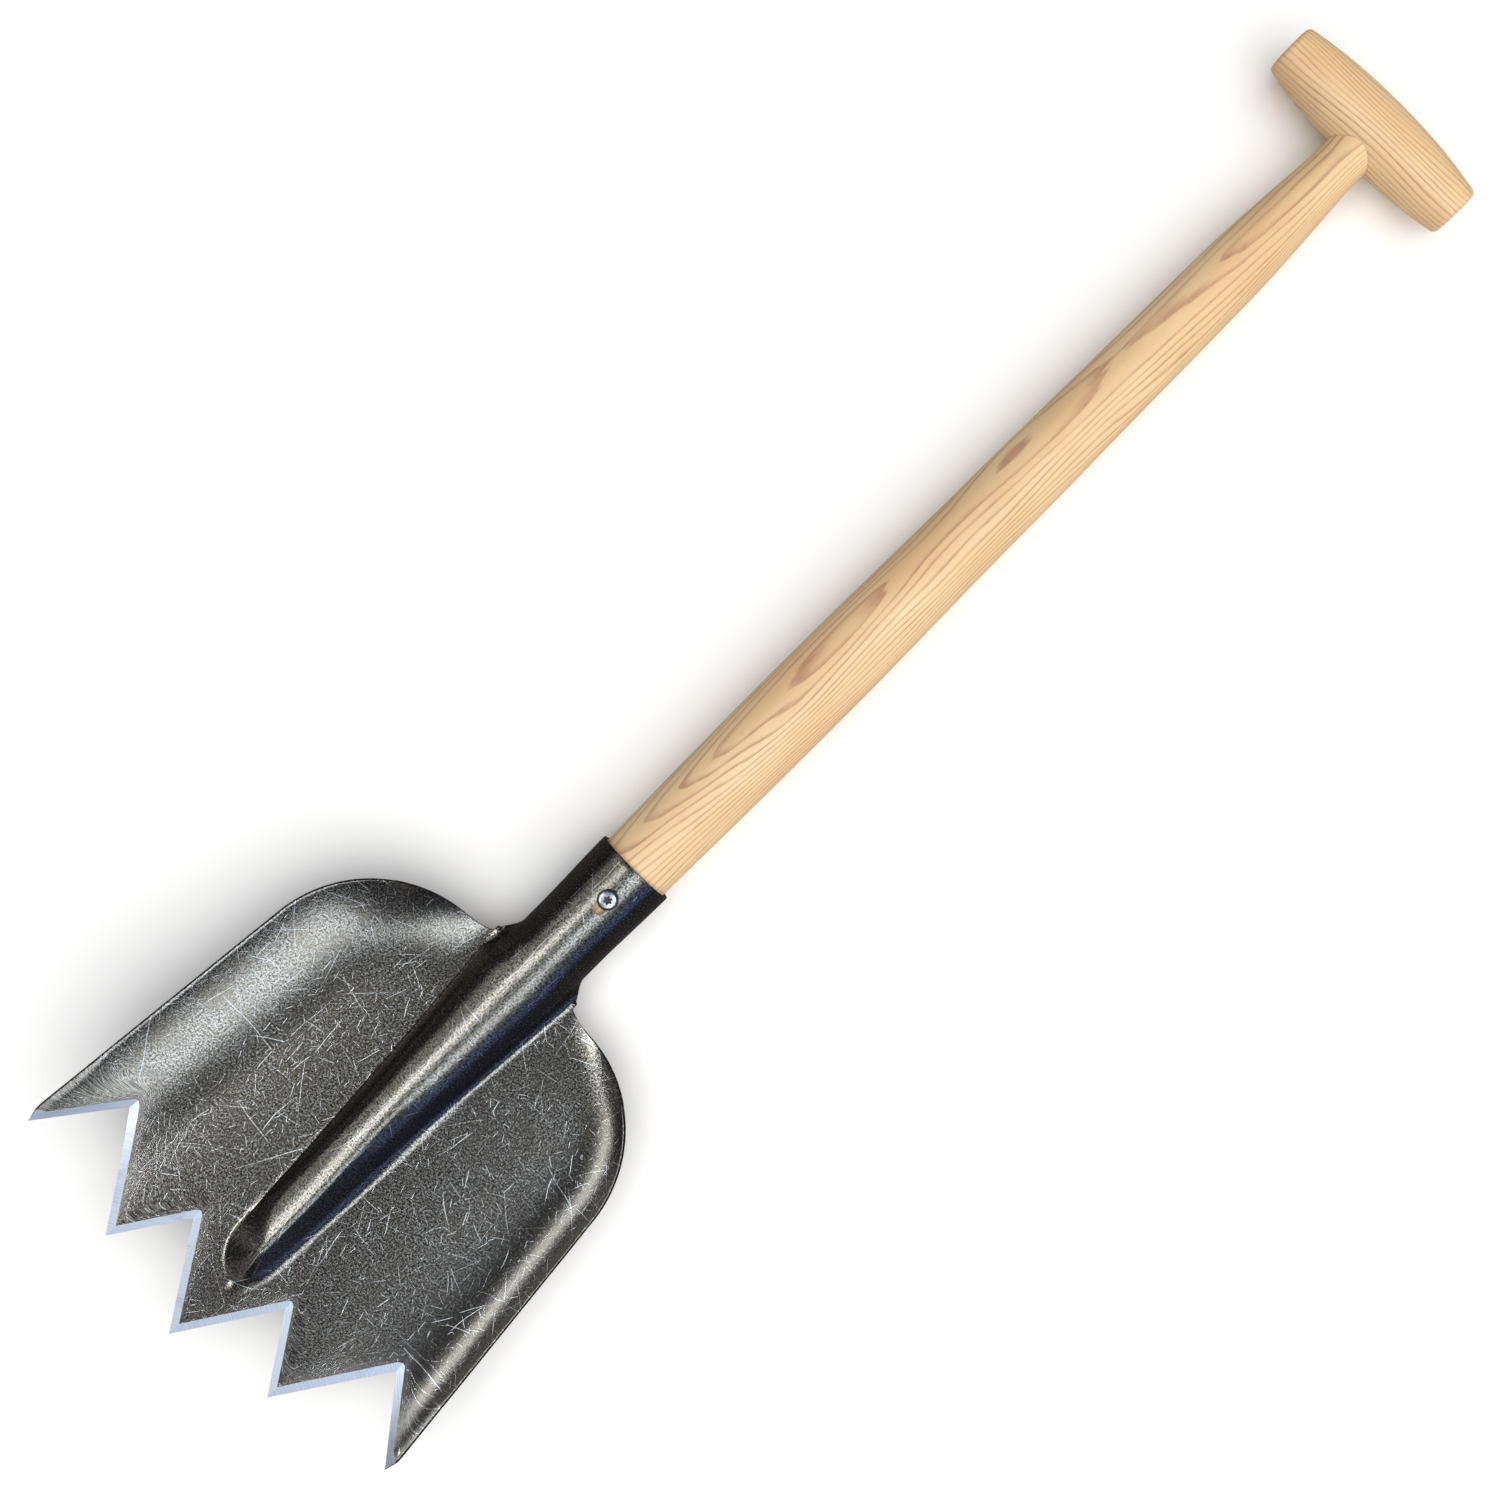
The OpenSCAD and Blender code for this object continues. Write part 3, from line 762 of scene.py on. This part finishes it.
grip_low, grip_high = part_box("grip")
grip_y = (grip_low.y + grip_high.y) / 2
grip_r = (grip_high.y - grip_low.y) / 2
grip_half_l = (grip_high.x - grip_low.x) / 2
grip_end_r = 15 * mm
grip_corner_r = 3.4 * mm
neck_r = 13.7 * mm
tenon_r = 11 * mm
tenon_hidden_l = 26 * mm
tenon_spare_l = 8 * mm
cope_gap = 0.35 * mm
kerf_l = 22 * mm
kerf_gap = 0.06 * mm
kerf_spare_l = 3 * mm
wedge_t = 3 * mm
wedge_tip_share = 0.36
far_side_y = grip_y + 5 * mm

# Radius at each distance from the rim of the socket, in millimetres
shaft_end = (grip_y - rim_y) / mm
shaft_outline = [
    (-140, 9), (-137, 11.5), (-110, 15), (-82, 18.5), (-62, 19.7), (-42, 20.15), (-20, 20.8),
    (0, 21.25), (34, 21.8), (60, 22.15), (97, 22.5), (157, 22.5), (187, 22.1), (252, 21),
    (307, 20.6), (361, 19.7), (416, 19.1), (460, 18.4), (481, 17.5), (503, 16.1), (525, 14.5),
    (shaft_end - 26, neck_r / mm), (shaft_end, neck_r / mm + 0.9),
]


def outline_radius(outline, d):
    """Radius at d on a smooth curve through the outline's points."""
    k = max(i for i in range(len(outline) - 1) if outline[i][0] <= d)
    (a, ra), (b, rb) = outline[k], outline[k + 1]
    t = (d - a) / (b - a)
    before, after = outline[max(k - 1, 0)], outline[min(k + 2, len(outline) - 1)]
    slope_a = (rb - before[1]) / (b - before[0]) * (b - a)
    slope_b = (after[1] - ra) / (after[0] - a) * (b - a)
    return ((2 * t**3 - 3 * t**2 + 1) * ra + (t**3 - 2 * t**2 + t) * slope_a
            + (3 * t**2 - 2 * t**3) * rb + (t**3 - t**2) * slope_b)


def turned(name, axis, stations, vertices=96):
    """A turned piece: a disc drawn out ring by ring. Each station is a centre and a radius."""
    deselect()
    (start, first_r), rest = stations[0], stations[1:]
    tilt = {"X": (0, math.pi / 2, 0), "Y": (-math.pi / 2, 0, 0), "Z": (0, 0, 0)}[axis]
    bpy.ops.mesh.primitive_circle_add(
        vertices=vertices, radius=first_r, fill_type="NGON", location=start, rotation=tilt)
    piece = bpy.context.object
    piece.name = name
    settle(piece)
    bpy.ops.object.mode_set(mode="EDIT")
    bpy.ops.mesh.select_all(action="SELECT")
    last, radius = Vector(start), first_r
    for centre, new_r in rest:
        centre = Vector(centre)
        bpy.ops.mesh.extrude_region_move(TRANSFORM_OT_translate={"value": centre - last})
        grow = new_r / radius
        bpy.ops.transform.resize(value=(grow, grow, grow), center_override=centre)
        last, radius = centre, new_r
    bpy.ops.mesh.select_all(action="SELECT")
    bpy.ops.mesh.normals_make_consistent(inside=False)
    deselect()
    return piece


shaft_stations = []
for d in sorted({point[0] for point in shaft_outline} | set(np.arange(-134, shaft_end - 2, 6.0))):
    radius = outline_radius(shaft_outline, min(d, shaft_end - 0.001)) * mm
    shaft_stations.append(((0, rim_y + d * mm, axis_z), radius))
shaft = turned("ash_shaft", "Y", shaft_stations)


def barrel_radius(x):
    """Radius of the grip at x, fullest in the middle."""
    return mix(grip_r, grip_end_r, (abs(x) / (grip_half_l - grip_corner_r)) ** 2.2)


def grip_stations(swell=0.0):
    """Centres and radii along the grip's barrel, its rounded corners included."""
    straight = grip_half_l - grip_corner_r
    half = [(x, barrel_radius(x)) for x in np.linspace(0, straight, 22)]
    for turn in np.radians([15, 30, 45, 60, 75, 88]):
        corner_x = straight + grip_corner_r * math.sin(turn)
        half.append((corner_x, grip_end_r - grip_corner_r * (1 - math.cos(turn))))
    both = [(-x, r) for x, r in reversed(half[1:])] + half
    return [((x * (1 + swell / grip_half_l), grip_y, axis_z), r + swell) for x, r in both]


# The end is coped to the round of the grip
cope = turned("cope", "X", grip_stations(cope_gap))
finish_with(shaft, "BOOLEAN", object=cope, operation="DIFFERENCE", solver="EXACT")
bpy.data.objects.remove(cope)


def flush_y(x, z):
    """Where the far side of the grip's barrel is."""
    return grip_y + math.sqrt(barrel_radius(x) ** 2 - (z - axis_z) ** 2)


tenon = turned("tenon", "Y", [
    ((0, grip_y - tenon_hidden_l, axis_z), tenon_r),
    ((0, grip_y + tenon_spare_l, axis_z), tenon_r),
], 64)
pick(tenon, "polygons", lambda face: face.center.y > grip_y)
for _ in range(4):
    bpy.ops.mesh.inset(thickness=0.2 * tenon_r)
deselect()
for vertex in tenon.data.vertices:
    if vertex.co.y > grip_y:
        vertex.co.y = flush_y(vertex.co.x, vertex.co.z)
finish_with(shaft, "BOOLEAN", object=tenon, operation="UNION", solver="EXACT")
bpy.data.objects.remove(tenon)


def wedge_shape(name, gap):
    """The thin wedge: a block narrowed at its tip, cut into strips so that its end can be rounded."""
    middle_y = grip_y + grip_r - kerf_l / 2
    deselect()
    bpy.ops.mesh.primitive_cube_add(size=1, location=(0, middle_y, axis_z))
    piece = bpy.context.object
    piece.name = name
    piece.scale = (wedge_t + 2 * gap, kerf_l, 2 * tenon_r + 2 * gap)
    settle(piece)
    pick(piece, "vertices", lambda vertex: vertex.co.y < middle_y)
    bpy.ops.transform.resize(value=(wedge_tip_share, 1, 1), center_override=(0, middle_y, axis_z))
    heights = [vertex.co.z for vertex in piece.data.vertices]
    pick(piece, "edges", lambda edge: abs(heights[edge.vertices[0]] - heights[edge.vertices[1]]) > mm)
    bpy.ops.mesh.subdivide(number_cuts=15)
    deselect()
    return piece


kerf_cut = wedge_shape("kerf", kerf_gap)
pick(kerf_cut, "vertices", lambda vertex: vertex.co.y > far_side_y)
bpy.ops.transform.translate(value=(0, kerf_spare_l, 0))
deselect()
finish_with(shaft, "BOOLEAN", object=kerf_cut, operation="DIFFERENCE", solver="EXACT")
bpy.data.objects.remove(kerf_cut)
shade(shaft, 35)


ring_w = 2.3
ash_pale = (0.82, 0.6, 0.335, 1)
ash_warm = (0.75, 0.495, 0.25, 1)
ash_fibre = (0.7, 0.47, 0.27, 1)
ash_early = (0.5, 0.265, 0.15, 1)
ash_pore = (0.33, 0.18, 0.09, 1)


def ash_wood(name, turn, pith, lean, seed):
    """Oiled ash. Rings round a pith line outside the piece show as arches on one face and as lines
    on the next; each ring starts with a band of open pores."""
    material, tree, shader = new_finish(name)
    source = tree.nodes.new("ShaderNodeTexCoord")
    wood = placed(tree, source.outputs["Object"], scale=(1000, 1000, 1000), turn=turn)
    wood = placed(tree, wood, move=(-pith[0], seed * 531, -pith[1]))
    parts = tree.nodes.new("ShaderNodeSeparateXYZ")
    tree.links.new(wood, parts.inputs[0])
    slow = placed(tree, wood, scale=(1, 0.16, 1))
    bow = step(tree, "MULTIPLY", step(tree, "SUBTRACT", cloud(tree, slow, 30, 1.5), 0.5), 17.0)
    px = step(tree, "MULTIPLY_ADD", parts.outputs[1], lean[0], parts.outputs[0])
    pz = step(tree, "MULTIPLY_ADD", parts.outputs[1], lean[1], parts.outputs[2])
    far = step(tree, "ADD", step(tree, "MULTIPLY", px, px), step(tree, "MULTIPLY", pz, pz))
    far = step(tree, "ADD", step(tree, "SQRT", far), bow)
    fine = placed(tree, wood, scale=(1, 0.05, 1))
    far = step(tree, "ADD", far, step(tree, "MULTIPLY", cloud(tree, fine, 3.5, 2), 0.9))
    phase = step(tree, "FRACT", step(tree, "MULTIPLY", far, 1 / ring_w))
    early = step(tree, "MULTIPLY", ramp(tree, phase, 0.0, 0.1), ramp(tree, phase, 0.1, 0.5, 1, 0))
    strong = ramp(tree, cloud(tree, placed(tree, wood, scale=(1, 0.2, 1)), 9, 2), 0.3, 0.68, 0.5, 1.0)
    early = step(tree, "MULTIPLY", early, strong)
    threads = placed(tree, wood, scale=(1, 0.045, 1))
    pores = ramp(tree, cloud(tree, threads, 0.42, 2, 0.6), 0.56, 0.7)
    pores = step(tree, "MULTIPLY", pores, ramp(tree, early, 0.1, 0.8, 0.16, 1.0))
    fibre = cloud(tree, placed(tree, wood, scale=(1, 0.02, 1)), 1.3, 4, 0.65)
    warm = cloud(tree, placed(tree, wood, scale=(1, 0.25, 1)), 26, 3)
    colour = tint(tree, ramp(tree, warm, 0.3, 0.7), ash_pale, ash_warm)
    colour = tint(tree, ramp(tree, fibre, 0.3, 0.7, 0, 0.35), colour, ash_fibre)
    colour = tint(tree, step(tree, "MULTIPLY", early, 0.95), colour, ash_early)
    colour = tint(tree, step(tree, "MULTIPLY", pores, 0.6), colour, ash_pore)
    feed(tree, shader.inputs["Base Color"], colour)
    feed(tree, shader.inputs["Roughness"], ramp(tree, early, 0, 1, 0.5, 0.66))
    shader.inputs["Specular IOR Level"].default_value = 0.42
    height = step(tree, "MULTIPLY", fibre, 0.5)
    height = step(tree, "SUBTRACT", height, step(tree, "MULTIPLY", pores, 0.9))
    raised(tree, shader, height, 0.4, 0.12 * mm)
    return material


shaft_pith = (50, -58)
shaft_lean = (-0.012, 0.024)
shaft.data.materials.append(ash_wood("ash_shaft_oiled", (0, 0, 0), shaft_pith, shaft_lean, 1))
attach(shaft, "root")
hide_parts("shaft")

# ---- Grip ----
# The cross-bar of the T, turned from ash with its grain along it. It is fullest in the middle, its ends
# are rounded and keep the small dimple of the lathe's centre, and the shaft's tenon goes through it.

dimple_depth = 1.2 * mm
bore_gap = 0.08 * mm
bore_l = 60 * mm

grip = turned("ash_grip", "X", grip_stations())
for end in (-1, 1):
    flat_end = max(grip.data.polygons, key=lambda face: face.area * (face.center.x * end > 0)).index
    pick(grip, "polygons", lambda face: face.index == flat_end)
    for ring_width in (5, 4.6, 0.9):
        bpy.ops.mesh.inset(thickness=ring_width * mm)
    bpy.ops.transform.translate(value=(-end * dimple_depth, 0, 0))
deselect()
bpy.ops.mesh.primitive_cylinder_add(
    vertices=64, radius=tenon_r + bore_gap, depth=bore_l,
    location=(0, grip_y, axis_z), rotation=(math.pi / 2, 0, 0))
bore = bpy.context.object
settle(bore)
finish_with(grip, "BOOLEAN", object=bore, operation="DIFFERENCE", solver="EXACT")
bpy.data.objects.remove(bore)
shade(grip, 35)
grip_turn = (0, 0, math.pi / 2)
grip_pith = (-38, -46)
grip_lean = (0.05, 0.03)
grip.data.materials.append(ash_wood("ash_grip_oiled", grip_turn, grip_pith, grip_lean, 4))
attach(grip, "root")
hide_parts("grip")

# ---- Wedge ----
# A thin hardwood wedge, driven into the saw cut in the tenon from the far side, which spreads the tenon
# in the grip. It is sanded flush with the grip.

sanded_edge = 0.12 * mm
wood_brown = (0.34, 0.185, 0.092, 1)
wood_pale = (0.47, 0.28, 0.15, 1)
wood_fleck = (0.2, 0.1, 0.05, 1)

wedge = wedge_shape("grip_wedge_hardwood", 0.0)
for vertex in wedge.data.vertices:
    if vertex.co.y > far_side_y:
        vertex.co.y = flush_y(vertex.co.x, vertex.co.z)
pick(wedge, "polygons", lambda face: face.center.y > far_side_y and face.normal.y > 0.5)
bpy.ops.mesh.inset(thickness=sanded_edge)
deselect()
shade(wedge, 30)


def hardwood():
    """Close brown hardwood with short dark flecks along its grain."""
    material, tree, shader = new_finish("wedge_hardwood")
    source = tree.nodes.new("ShaderNodeTexCoord")
    wood = placed(tree, source.outputs["Object"], scale=(1000, 160, 1000))
    streak = cloud(tree, wood, 1.2, 3, 0.6)
    fleck = ramp(tree, cloud(tree, placed(tree, wood, move=(50, 7, 3)), 0.5, 2), 0.58, 0.68)
    colour = tint(tree, ramp(tree, streak, 0.3, 0.7), wood_brown, wood_pale)
    feed(tree, shader.inputs["Base Color"], tint(tree, fleck, colour, wood_fleck))
    feed(tree, shader.inputs["Roughness"], ramp(tree, streak, 0.3, 0.7, 0.5, 0.65))
    raised(tree, shader, streak, 0.3, 0.1 * mm)
    return material


wedge.data.materials.append(hardwood())
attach(wedge, "root")
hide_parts("grip_wedge")

# ---- Socket screw ----
# A zinc-plated pan-head wood screw with a six-lobe recess. It goes through the slot in the front of the
# socket into the shaft, and its head bears on the edges of the slot.

seat_z = axis_z + (rim_r - 0.2) * mm

# Radius and height of each turn of its outline, in millimetres: point, thread, shank, round head
head_r = 5.85
head_round = 2.2
head_under = 1.4
head_middle = 1.5
thread_root_r = 1.7
thread_crest_r = 2.4
thread_pitch = 2.4
thread_start = -17.3
thread_half_w = 0.9
shank_r = 2.1
screw_outline = [(0.4, -22.5), (1.5, -19)]
for k in range(5):
    crest = thread_start + thread_pitch * k
    screw_outline.append((thread_root_r, crest - thread_half_w))
    screw_outline.append((thread_crest_r, crest))
    screw_outline.append((thread_root_r, crest + thread_half_w))
screw_outline += [(shank_r, -5), (shank_r, 0)]
for turn in np.radians(range(-40, 91, 10)):
    high = head_round if turn > 0 else head_under
    outward = head_r - head_round * (1 - math.cos(turn))
    screw_outline.append((outward, head_middle + high * math.sin(turn)))
screw_outline += [(2.9, 3.84)]
screw = turned("zinc_screw", "Z", [((0, screw_y, seat_z + z * mm), r * mm) for r, z in screw_outline], 72)

# The recess: the top is inset, drawn into six lobes and pushed down
lobe_r = 2.15
lobe_wave = 0.42
recess_depth = 1.9 * mm
recess_taper = 0.9
head_top = max(vertex.co.z for vertex in screw.data.vertices)
just_below = head_top - 0.01 * mm
pick(screw, "polygons", lambda face: face.center.z > just_below and face.normal.z > 0.9)
bpy.ops.mesh.inset(thickness=0.35 * mm)
deselect()
for vertex in screw.data.vertices:
    away = vertex.co - Vector((0, screw_y, vertex.co.z))
    if vertex.co.z > just_below and away.length < 2.7 * mm:
        lobes = lobe_r + lobe_wave * math.cos(6 * math.atan2(away.y, away.x))
        vertex.co = vertex.co - away + away.normalized() * lobes * mm
pick(screw, "polygons", lambda face: face.center.z > just_below and len(face.vertices) > 8)
bpy.ops.mesh.extrude_region_move(TRANSFORM_OT_translate={"value": (0, 0, -recess_depth)})
recess_floor = (0, screw_y, head_top - recess_depth)
bpy.ops.transform.resize(value=(recess_taper, recess_taper, 1), center_override=recess_floor)
deselect()
# Painted shade: the faces inside the recess take the dark second material.
for face in screw.data.polygons:
    away = face.center - Vector((0, screw_y, face.center.z))
    in_recess = head_top - 2 * mm < face.center.z < head_top - 0.02 * mm
    if in_recess and away.length < 2.62 * mm:
        face.material_index = 1
screw.rotation_euler.y = screw_turn
screw.location = Vector((math.sin(screw_turn), 0, math.cos(screw_turn) - 1)) * -axis_z
settle(screw)
shade(screw, 38)


zinc_pale = (0.36, 0.36, 0.37, 1)
zinc_dull = (0.2, 0.2, 0.2, 1)
recess_shade_dark = (0.012, 0.011, 0.01, 1)
recess_shade_pale = (0.06, 0.055, 0.05, 1)


def zinc_plate():
    """Grey zinc plating with fine turning marks and dull patches."""
    material, tree, shader = new_finish("zinc_plate")
    source = tree.nodes.new("ShaderNodeTexCoord")
    place = placed(tree, source.outputs["Object"], scale=(1000, 1000, 1000))
    dull = cloud(tree, place, 2.5, 4, 0.6)
    marks = cloud(tree, placed(tree, place, scale=(1, 1, 6)), 0.5, 3, 0.6)
    colour = tint(tree, ramp(tree, dull, 0.35, 0.7), zinc_pale, zinc_dull)
    feed(tree, shader.inputs["Base Color"], colour)
    shader.inputs["Metallic"].default_value = 1.0
    feed(tree, shader.inputs["Roughness"], ramp(tree, marks, 0.3, 0.7, 0.24, 0.42))
    raised(tree, shader, marks, 0.25, 0.08 * mm)
    return material


def recess_painted_shade():
    """Painted shade: a dull dark colour at the bottom of the driver's recess."""
    material, tree, shader = new_finish("recess_painted_shade")
    source = tree.nodes.new("ShaderNodeTexCoord")
    place = placed(tree, source.outputs["Object"], scale=(1000, 1000, 1000))
    clots = cloud(tree, place, 0.6, 3, 0.6)
    feed(tree, shader.inputs["Base Color"], tint(tree, clots, recess_shade_dark, recess_shade_pale))
    feed(tree, shader.inputs["Roughness"], ramp(tree, clots, 0.3, 0.7, 0.6, 0.85))
    raised(tree, shader, clots, 0.4, 0.1 * mm)
    return material


screw.data.materials.append(zinc_plate())
screw.data.materials.append(recess_painted_shade())
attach(screw, "root")
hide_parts("socket_screw")

# ---- Floor, light and camera ----
# A plain white sheet under the tool, lit evenly from the ceiling, as in a small studio. Five soft panels
# round it only add gleams to the tool, and the sheet is darker in its gleams than it looks. The camera
# looks straight down.

floor_pale = (0.93, 0.93, 0.93, 1)
floor_white = (0.95, 0.95, 0.95, 1)
floor_in_gleams = (0.1, 0.1, 0.1, 1)
room_dim = (0.055, 0.06, 0.075, 1)
room_white = (0.97, 0.97, 0.97, 1)

deselect()
bpy.ops.mesh.primitive_plane_add(size=40, location=(0, 0, -0.0002))
floor = bpy.context.object
floor.name = "floor"
paper, paper_tree, paper_shader = new_finish("white_paper")
paper_shader.inputs["Roughness"].default_value = 0.9
paper_shader.inputs["Specular IOR Level"].default_value = 0.1
paper_source = paper_tree.nodes.new("ShaderNodeTexCoord")
paper_tone = cloud(paper_tree, paper_source.outputs["Object"], 0.8, 3)
rays = paper_tree.nodes.new("ShaderNodeLightPath")
pale = tint(paper_tree, paper_tone, floor_pale, floor_white)
paper_colour = tint(paper_tree, rays.outputs["Is Glossy Ray"], pale, floor_in_gleams)
feed(paper_tree, paper_shader.inputs["Base Color"], paper_colour)
floor.data.materials.append(paper)

world = bpy.data.worlds.new("studio")
bpy.context.scene.world = world
world.use_nodes = True
sky = world.node_tree
backdrop = sky.nodes["Background"]
seen = sky.nodes.new("ShaderNodeLightPath")
room_colour = tint(sky, seen.outputs["Is Camera Ray"], room_dim, room_white)
feed(sky, backdrop.inputs["Color"], room_colour)
backdrop.inputs["Strength"].default_value = 1.0


def soft_light(name, side, y, distance, wide, long, radiance, colour):
    """A flat soft panel, seen only in reflections. It stands at an angle from straight above the
    tool, and faces it."""
    lamp = bpy.data.lights.new(name, "AREA")
    lamp.shape = "RECTANGLE"
    lamp.size = wide
    lamp.size_y = long
    lamp.energy = radiance * math.pi * wide * long
    lamp.color = colour
    holder = bpy.data.objects.new(name, lamp)
    bpy.context.scene.collection.objects.link(holder)
    angle = math.radians(side)
    holder.location = (distance * math.sin(angle), y, distance * math.cos(angle))
    holder.rotation_euler = (0, angle, 0)
    holder.visible_camera = False
    holder.visible_diffuse = False
    return holder


front = soft_light("front_light", 0, -2.0, 1.3, 1.6, 0.8, 0.7, (0.9, 0.95, 1.0))
front.rotation_euler = (math.radians(51), 0, 0)
soft_light("narrow_light", -18.5, -0.62, 1.7, 0.3, 0.9, 21.0, (0.86, 0.94, 1.0))
soft_light("grey_light", -48, -0.4, 1.8, 0.55, 1.6, 1.6, (0.95, 0.98, 1.0))
soft_light("cool_light", 22.5, -0.1, 2.0, 0.7, 1.7, 8.0, (0.76, 0.88, 1.0))
soft_light("blue_light", 64, -0.28, 2.0, 0.8, 2.8, 0.9, (0.25, 0.42, 1.0))

# Even light from all over the ceiling, a little more from the right
ceiling_lamp = bpy.data.lights.new("ceiling_light", "SUN")
ceiling_lamp.energy = 3.65
ceiling_lamp.angle = math.radians(100)
ceiling_lamp.color = (1.0, 0.99, 0.97)
ceiling = bpy.data.objects.new("ceiling_light", ceiling_lamp)
bpy.context.scene.collection.objects.link(ceiling)
ceiling.rotation_euler = (0, math.radians(18), 0)
ceiling.visible_glossy = False

camera_data = bpy.data.cameras.new("camera")
camera_data.lens = 48
camera_height = 1.09
camera = bpy.data.objects.new("camera", camera_data)
bpy.context.scene.collection.objects.link(camera)
camera.location = (-0.0011, -0.030, axis_z + camera_height)
camera.rotation_euler = (0, 0, math.radians(45))
bpy.context.scene.camera = camera
bpy.context.scene.view_settings.view_transform = "Standard"
